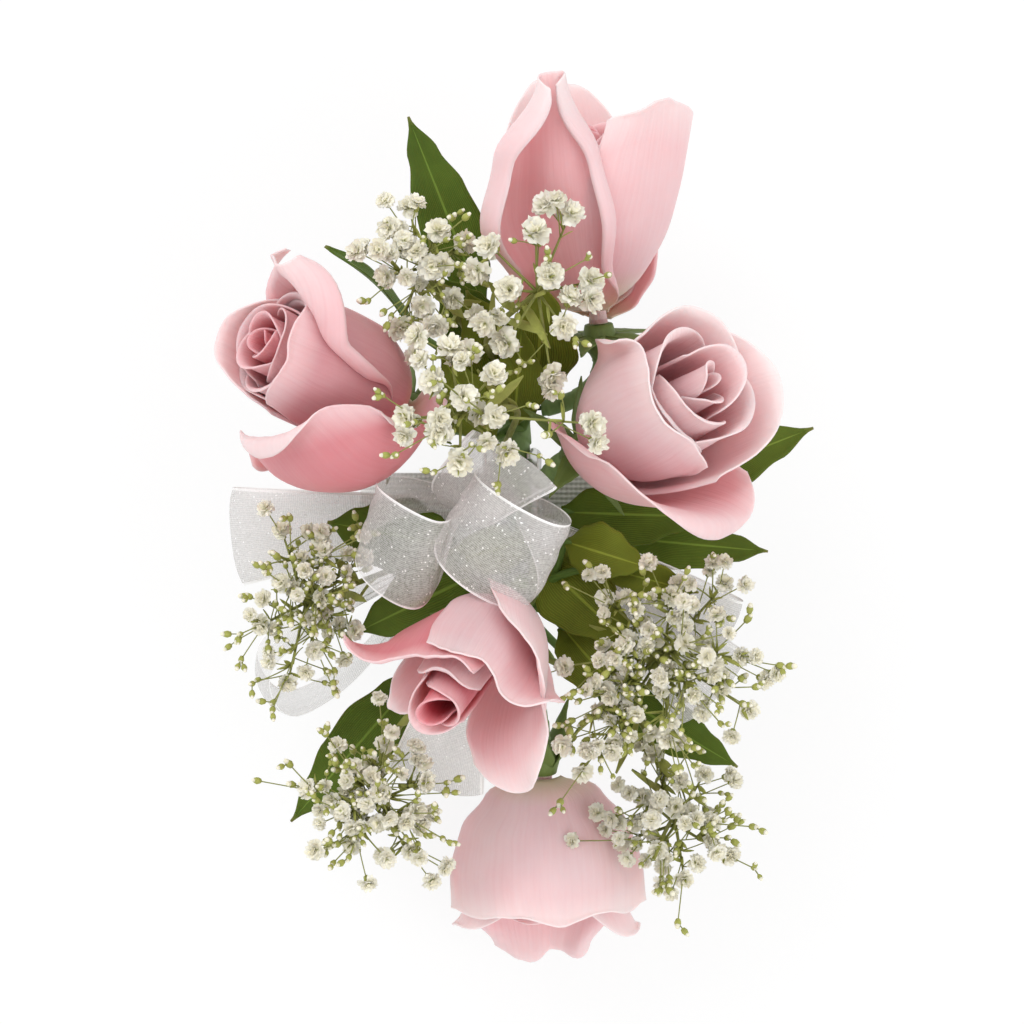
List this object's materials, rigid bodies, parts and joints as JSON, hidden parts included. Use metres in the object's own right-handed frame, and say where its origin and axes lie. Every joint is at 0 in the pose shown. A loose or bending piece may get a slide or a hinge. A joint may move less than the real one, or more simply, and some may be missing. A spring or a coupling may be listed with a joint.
{
  "type": "wrist corsage",
  "caption": "Wrist corsage of pink roses, small white blossom, leaves and sheer ribbon loops on a taped spine, clipped to an elastic wristlet.",
  "frame": {"origin": "centre of the strap face that touches the back of the wrist", "axes": "+Z away from the wrist through the flowers, +Y along the forearm, up the picture, +X to the picture's right"},
  "size_m": [0.1194, 0.1814, 0.0977],
  "materials": {
    "petal": "pale pink rose petal, soft satin",
    "heart": "deeper pink rose petal, soft satin",
    "stem": "green stem and calyx under florist's tape",
    "wire": "green lacquered florist's wire",
    "tape": "stretched green florist's tape over stems",
    "leaf": "satin green leaf",
    "blossom": "white double florets on thin green stems",
    "ribbon": "sheer white organza with bright selvages and glitter",
    "elastic": "white woven elastic",
    "metal": "thin nickel-plated steel"
  },
  "bodies": {
    "base": {"blossom_spray_centre_left": "blossom", "blossom_spray_left": "blossom", "blossom_spray_lower_left": "blossom", "blossom_spray_lower_right": "blossom", "blossom_spray_right": "blossom", "blossom_spray_upper": "blossom", "blossom_spray_upper_left": "blossom", "bow_loops_inner": "ribbon", "bow_loops_lower": "ribbon", "bow_loops_middle": "ribbon", "bow_loops_outer": "ribbon", "bow_tie": "wire", "clip": "metal", "leaf_sprig_centre_lower": "leaf", "leaf_sprig_centre_upper": "leaf", "leaf_sprig_lower_left": "leaf", "leaf_sprig_lower_right": "leaf", "leaf_sprig_right": "leaf", "leaf_sprig_top": "leaf", "spine": "tape", "strap_back": "elastic", "strap_side_left": "elastic", "strap_side_right": "elastic"},
    "rose_top": {"rose_top_heart": "heart", "rose_top_petal_1": "petal", "rose_top_petal_2": "petal", "rose_top_petal_3": "petal", "rose_top_petal_4": "petal", "rose_top_stem": "stem", "rose_top_wire": "wire"},
    "rose_left": {"rose_left_heart": "heart", "rose_left_petal_1": "petal", "rose_left_petal_2": "petal", "rose_left_petal_3": "petal", "rose_left_petal_4": "petal", "rose_left_stem": "stem", "rose_left_wire": "wire"},
    "rose_right": {"rose_right_heart": "heart", "rose_right_petal_1": "petal", "rose_right_petal_2": "petal", "rose_right_petal_3": "petal", "rose_right_petal_4": "petal", "rose_right_stem": "stem", "rose_right_wire": "wire"},
    "rose_front": {"rose_front_heart": "heart", "rose_front_petal_1": "petal", "rose_front_petal_2": "petal", "rose_front_petal_3": "petal", "rose_front_petal_4": "petal", "rose_front_stem": "stem", "rose_front_wire": "wire"},
    "rose_tail": {"rose_tail_heart": "heart", "rose_tail_petal_1": "petal", "rose_tail_petal_2": "petal", "rose_tail_petal_3": "petal", "rose_tail_petal_4": "petal", "rose_tail_stem": "stem", "rose_tail_wire": "wire"},
    "strap_under": {"strap_front": "elastic"}
  },
  "joints": [
    {"name": "rose_top_bend", "type": "hinge", "parent": "base", "child": "rose_top", "pos_m": [0.004, 0.021, 0.0066], "axis": [-0.9966, -0.0822, 0], "range_deg": [0, 10]},
    {"name": "rose_left_bend", "type": "hinge", "parent": "base", "child": "rose_left", "pos_m": [-0.00346, 0.017, 0.0086], "axis": [-0.4167, -0.9091, 0], "range_deg": [0, 10]},
    {"name": "rose_right_bend", "type": "hinge", "parent": "base", "child": "rose_right", "pos_m": [0.00346, 0.006, 0.0086], "axis": [-0.4706, 0.8824, 0], "range_deg": [0, 10]},
    {"name": "rose_front_bend", "type": "hinge", "parent": "base", "child": "rose_front", "pos_m": [0.00104, -0.014, 0.01046], "axis": [0.8269, -0.5623, 0], "range_deg": [0, 8]},
    {"name": "rose_tail_bend", "type": "hinge", "parent": "base", "child": "rose_tail", "pos_m": [0.0015, -0.032, 0.01031], "axis": [0.9995, 0.0312, 0], "range_deg": [0, 10]},
    {"name": "strap_stretch", "type": "slide", "parent": "base", "child": "strap_under", "axis": [0, 0, -1], "range_m": [0, 0.012], "stiffness_N_per_m": 330, "deforming": ["strap_side_left", "strap_side_right"]}
  ]
}
